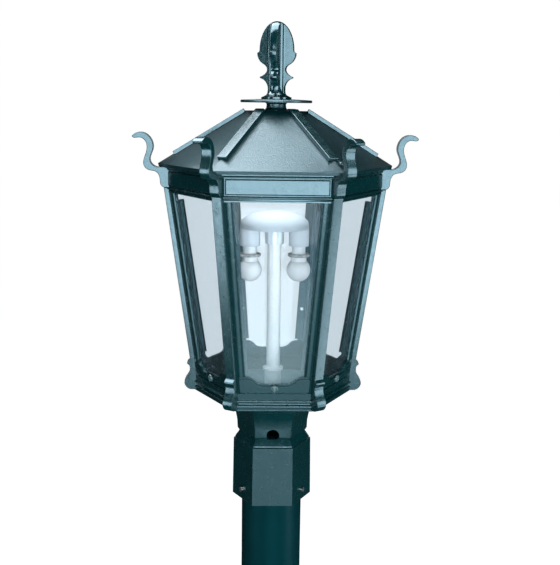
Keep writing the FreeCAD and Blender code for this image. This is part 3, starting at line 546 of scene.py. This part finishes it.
# Thicker at the front pane's foot only: partly dust, partly painted reflection.
near_foot = ramp(pane_tree, pane_place["Z"], 0.30, 0.17, 0.0, 0.085)
in_front = ramp(pane_tree, pane_place["Y"], -0.06, -0.085, 0.0, 1.0)
front_foot_dust_and_veil = computed(pane_tree, "MULTIPLY", near_foot, in_front)
even_dust = between(pane_tree, noise_on(pane_tree, 22.0, 5.0), 0.006, 0.018)
dust_and_veil = computed(pane_tree, "ADD", even_dust, front_foot_dust_and_veil)
dusted_and_veiled = blended(pane_tree, dust_and_veil, polished, dust_and_veil_film.outputs[0])
pane_tree.links.new(dusted_and_veiled, pane_tree.nodes["Material Output"].inputs["Surface"])
for face in faces:
    pane = frame["nodes"]["pane_" + face]
    pane.material_slots[0].material = glass


# Glass retainers: channel strips inside the corners that press the glass into its rebate, in rough paint.
# Each is held by four small slotted screws.
rough_enamel = finish_of(
    "rough_enamel", (0.0003, 0.014, 0.017), (0.002, 0.028, 0.033), 160.0, (0.28, 0.5),
    ((260.0, 0.00006), (900.0, 0.00003)), Specular_Tint=enamel_tint, Specular_IOR_Level=0.7,
)
eased_copy("glass_retainers", 0.25, rough_enamel)
retainer_screw_head = 1.3
retainer_screw = turned("retainer_screw", [
    (1.3, -1.5), (1.3, 0.0), (2.3, 0.0), (2.3, 0.5), (1.9, 1.1), (0.8, retainer_screw_head),
], sides=16)
drive_hole(retainer_screw, 2, 1.4, 0.5, retainer_screw_head)
retainer_screw_levels = (224.0, 272.0, 320.0, 368.0)
screw_from_corner = 14.6
screw_behind_face = 8.3
retainer_places = []
for index in range(6):
    about = Matrix.Rotation(math.radians(30.0 + 60.0 * index), 4, "Z")
    lay = Matrix.Rotation(math.radians(-90.0 + rail_dip), 4, "Y")
    for side in (-1.0, 1.0):
        for level in retainer_screw_levels:
            across = side * (corner_reach(level) / 2.0 - screw_from_corner)
            reach = face_reach(level) - screw_behind_face
            spot = Matrix.Translation((reach / 1000.0, across / 1000.0, level / 1000.0))
            retainer_places.append(about @ spot @ lay)
retainer_screws = placed_copies(retainer_screw, "retainer_screws", retainer_places)
ease_edges(retainer_screws, 0.0)
retainer_screws.data.materials.append(zinc)
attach(retainer_screws, "lantern_body")


# Friezes: six castings under the roof, each a raised field between a bead and a small cove.
# They are mitred at the corners, in the same enamel as the rails.
for face in faces:
    eased_copy("frieze_" + face, 0.35, enamel)


# Horns: six flat bars bent in an S, painted with the body.
# They are screwed to the corners of the frieze and curl out past the eave.
for corner in corners:
    eased_copy("horn_" + corner, 0.8, enamel)


# Roof: six-sided hollow casting that lifts off for changing the bulbs.
# Its sand-cast skin shows through the enamel as a fine speckle, and its edges are painted pale: partly
# wear, partly a painted edge highlight.
roof_enamel = finish_of(
    "roof_enamel", (0.0001, 0.0150, 0.0175), (0.0004, 0.0190, 0.0215), 40.0, (0.29, 0.36),
    ((520.0, 0.00022), (1300.0, 0.00014)), worn_and_highlit=bare_and_highlit_edges,
    Specular_Tint=enamel_tint, Specular_IOR_Level=0.8,
)
eased_copy("roof_casting", 0.6, roof_enamel)


# Hip battens: flat bars along the six hips of the roof.
# Their enamel is as smooth as the body's, without the speckle of the roof.
eased_copy("hip_battens", 0.6, enamel)


# Roof screws: two slotted screws that hold the roof down on the frieze, one in front and one behind.
# They have the same dark gloss as the rail screws.
roof_screw_head = 2.2
roof_screw_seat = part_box("roof_screw_front")[1].z * 1000.0 - roof_screw_head
roof_screw_x = 0.06946
roof_screw_y = -0.10031
for name, side in (("front", 1.0), ("rear", -1.0)):
    screw = turned("roof_screw", [
        (2.0, -17.0), (2.0, 0.0), (3.4, 0.0), (3.4, 0.7), (3.0, 1.5), (2.0, 2.1), (0.6, roof_screw_head),
    ], sides=32)
    drive_hole(screw, 2, 2.0, 0.8, roof_screw_head)
    place = Matrix.Translation((roof_screw_x * side, roof_screw_y * side, roof_screw_seat / 1000.0))
    screw = placed_copies(screw, "roof_screw_" + name + "_finished", [place])
    ease_edges(screw, 0.0)
    screw.data.materials.append(screw_gloss)
    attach(screw, name + "_roof_screw")
    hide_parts("roof_screw_" + name)


# Roof cap: round neck and thin domed disc, spun in aluminium.
# It stands on the roof's top in the same enamel as the roof.
# This copy's rim is 1 mm thicker than the solid's, and it has no bore for the stud.
def flowing(points, steps):
    """Points along a smooth line through the given ones."""
    ends = [points[0]] + list(points) + [points[-1]]
    line = [points[0]]
    for before, start, end, after in zip(ends, ends[1:], ends[2:], ends[3:]):
        for step in range(1, steps + 1):
            t = step / steps
            place = []
            for a, b, c, d in zip(before, start, end, after):
                place.append(0.5 * (
                    2.0 * b + (c - a) * t + (2.0 * a - 5.0 * b + 4.0 * c - d) * t * t
                    + (3.0 * b - a - 3.0 * c + d) * t * t * t
                ))
            line.append(tuple(place))
    return line


cap_neck = flowing([(15.0, 485.6), (12.3, 488.6), (11.7, 491.8)], 4)
cap = turned("roof_cap_finished", [(15.0, 485.5)] + cap_neck + [
    (11.7, 493.4), (13.3, 494.9), (42.2, 494.9), (43.0, 495.5), (43.0, 497.5), (42.2, 498.1),
    (34.0, 498.5), (26.0, 498.9), (18.2, 499.2), (1.0, 499.2),
], sides=96)
ease_edges(cap, 0.0, 30.0)
cap.data.materials.append(roof_enamel)
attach(cap, "roof")
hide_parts("roof_cap")


# Finial: cast aluminium, four crossed fins cut to an acorn over a sharp collar, on a round foot.
# A glossier coat of the same enamel, with edges painted pale: partly wear, partly a painted edge
# highlight.
finial_enamel = finish_of(
    "finial_enamel", (0.0001, 0.0170, 0.0190), (0.0004, 0.0215, 0.0240), 26.0, (0.14, 0.20),
    ((240.0, 0.00006), (1500.0, 0.00003)), worn_and_highlit=bare_and_highlit_edges,
    Specular_Tint=enamel_tint, Specular_IOR_Level=0.8,
)
eased_copy("finial", 0.5, finial_enamel)


# Finial stud: threaded zinc-plated rod with a nut under the roof's top.
# It ties the finial and the cap to the roof.
eased_copy("finial_stud", 0.3, zinc)


# Lamp stem: white enamelled tube that stands in the floor plate, with a foot and a flange round it.
# This copy is closed at both ends, where the solid has an open bore.
white = finish_of(
    "white_enamel", (0.88, 0.87, 0.86), (0.92, 0.91, 0.89), 60.0, (0.22, 0.34),
    ((300.0, 0.00004), (1600.0, 0.00002)),
)
stem = turned("lamp_stem_finished", [
    (7.0, 133.4), (8.5, 133.4), (8.5, 142.0), (10.5, 142.0), (10.5, 164.4), (11.0, 165.0),
    (12.6, 165.0), (13.0, 165.4), (13.0, 167.6), (12.6, 168.0), (9.6, 168.0), (8.5, 169.4),
    (8.5, 337.0), (7.0, 337.0), (7.0, 336.0),
], sides=48)
ease_edges(stem, 0.0, 30.0)
stem.data.materials.append(white)
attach(stem, "lantern_body")
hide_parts("lamp_stem")


# Cluster bar: cross bar with a hub on the stem's end, which carries the lamp holders.
# Its plating is pale and satin.
bar_plating = finish_of(
    "bar_plating", (0.56, 0.60, 0.64), (0.66, 0.70, 0.73), 90.0, (0.3, 0.45),
    ((500.0, 0.00003), (2600.0, 0.00001)), Metallic=0.25,
)
eased_copy("cluster_bar", 0.3, bar_plating)


# Canopy: spun dome over the lamp holders, open underneath.
# Its pale grey enamel is painted whiter towards the crown, as painted light on its top.
grey = finish_of(
    "canopy_enamel", (0.40, 0.445, 0.48), (0.46, 0.50, 0.54), 50.0, (0.30, 0.42),
    ((220.0, 0.00005), (1500.0, 0.00002)), Specular_IOR_Level=0.2,
)
canopy_tree = grey.node_tree
canopy_base = canopy_tree.nodes["Principled BSDF"].inputs["Base Color"]
rim_grey = canopy_base.links[0].from_socket
# Painted light: the grey turns whiter towards the crown.
crown_light_share = ramp(canopy_tree, where(canopy_tree)["Z"], 0.3492, 0.3625, 0.0, 1.0)
crown_lit_grey = mixed(canopy_tree, crown_light_share, rim_grey, (0.80, 0.84, 0.89))
canopy_tree.links.new(crown_lit_grey, canopy_base)
dome_radius = 42.0
dome_rise = 15.8
dome_wall = 1.2
dome_level = 349.2
rim_level = 344.4


def dome_line(radius, rise):
    """Quarter of an ellipse from the dome's side up to its crown."""
    line = []
    for step in range(13):
        turn = math.radians(90.0 * step / 12.0)
        line.append((max(radius * math.cos(turn), 0.8), dome_level + rise * math.sin(turn)))
    return line


outside = dome_line(dome_radius, dome_rise)
inside = dome_line(dome_radius - dome_wall, dome_rise - dome_wall)
rim = [(dome_radius - dome_wall, rim_level), (dome_radius, rim_level)]
dome = turned("dome_canopy_finished", inside[::-1] + rim + outside, sides=96)
ease_edges(dome, 0.3)
dome.data.materials.append(grey)
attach(dome, "lantern_body")
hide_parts("dome_canopy")


# Lamp holders: two moulded holders, a pale grey cap over a narrower white skirt.
# The shade ring under the skirt is bare mottled metal-grey.
moulded = finish_of(
    "holder_moulding", (0.82, 0.83, 0.84), (0.88, 0.88, 0.88), 80.0, (0.35, 0.5),
    ((600.0, 0.00004), (2600.0, 0.00002)),
)
holder_tree = moulded.node_tree
holder_base = holder_tree.nodes["Principled BSDF"].inputs["Base Color"]
skirt_white = holder_base.links[0].from_socket
skirt_top = 0.3221
skirt_foot = 0.3127
height = where(holder_tree)["Z"]
over_skirt = computed(holder_tree, "GREATER_THAN", height, skirt_top)
under_skirt = computed(holder_tree, "LESS_THAN", height, skirt_foot)
capped = mixed(holder_tree, over_skirt, skirt_white, (0.62, 0.66, 0.70))
speckle = between(holder_tree, noise_on(holder_tree, 420.0, 3.0), 0.0, 1.0)
ring_grey = mixed(holder_tree, speckle, (0.12, 0.11, 0.10), (0.62, 0.62, 0.60))
holder_tree.links.new(mixed(holder_tree, under_skirt, capped, ring_grey), holder_base)
holder = turned("lamp_holder", [
    (7.0, 326.0), (7.0, 309.0), (12.9, 309.0), (13.4, 309.5), (13.4, 312.1), (12.9, 312.6), (9.0, 312.6),
    (8.2, 313.6), (8.2, 321.4), (9.0, 322.2), (11.9, 322.2), (12.3, 322.7), (12.3, 343.2), (11.7, 344.0),
    (10.4, 344.0), (10.4, 347.6), (1.0, 347.6),
], sides=48)
holder_places = [Matrix.Translation((-0.030, 0.0, 0.0)), Matrix.Translation((0.030, 0.0, 0.0))]
holders = placed_copies(holder, "lamp_holders_finished", holder_places)
ease_edges(holders, 0.0)
holders.data.materials.append(moulded)
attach(holders, "lantern_body")
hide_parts("lamp_holders")


# Bulbs: two short frosted bulbs, screwed up into the holders.
# A little light passes into the frosted glass, and the threads are left out.
frosted = finish_of(
    "frosted_glass", (0.86, 0.86, 0.86), (0.91, 0.90, 0.89), 40.0, (0.3, 0.42),
    ((500.0, 0.00002), (2400.0, 0.00001)), Subsurface_Weight=0.15, Subsurface_Radius=(0.004, 0.004, 0.004),
)
bulb_radius = 14.6
bulb_level = 292.2
globe = []
for step in range(22):
    turn = math.radians(-87.0 + 6.5 * step)
    globe.append((bulb_radius * math.cos(turn), bulb_level + bulb_radius * math.sin(turn)))
bulb_neck = flowing([(9.9, 304.2), (9.6, 306.2), (9.6, 308.8)], 2)
bulb = turned("bulb", globe + bulb_neck + [(6.8, 308.8), (6.8, 324.8), (5.0, 325.0)], sides=48)
bulbs = placed_copies(bulb, "bulbs_finished", holder_places)
ease_edges(bulbs, 0.0)
bulbs.data.materials.append(frosted)
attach(bulbs, "lantern_body")
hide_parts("bulbs")
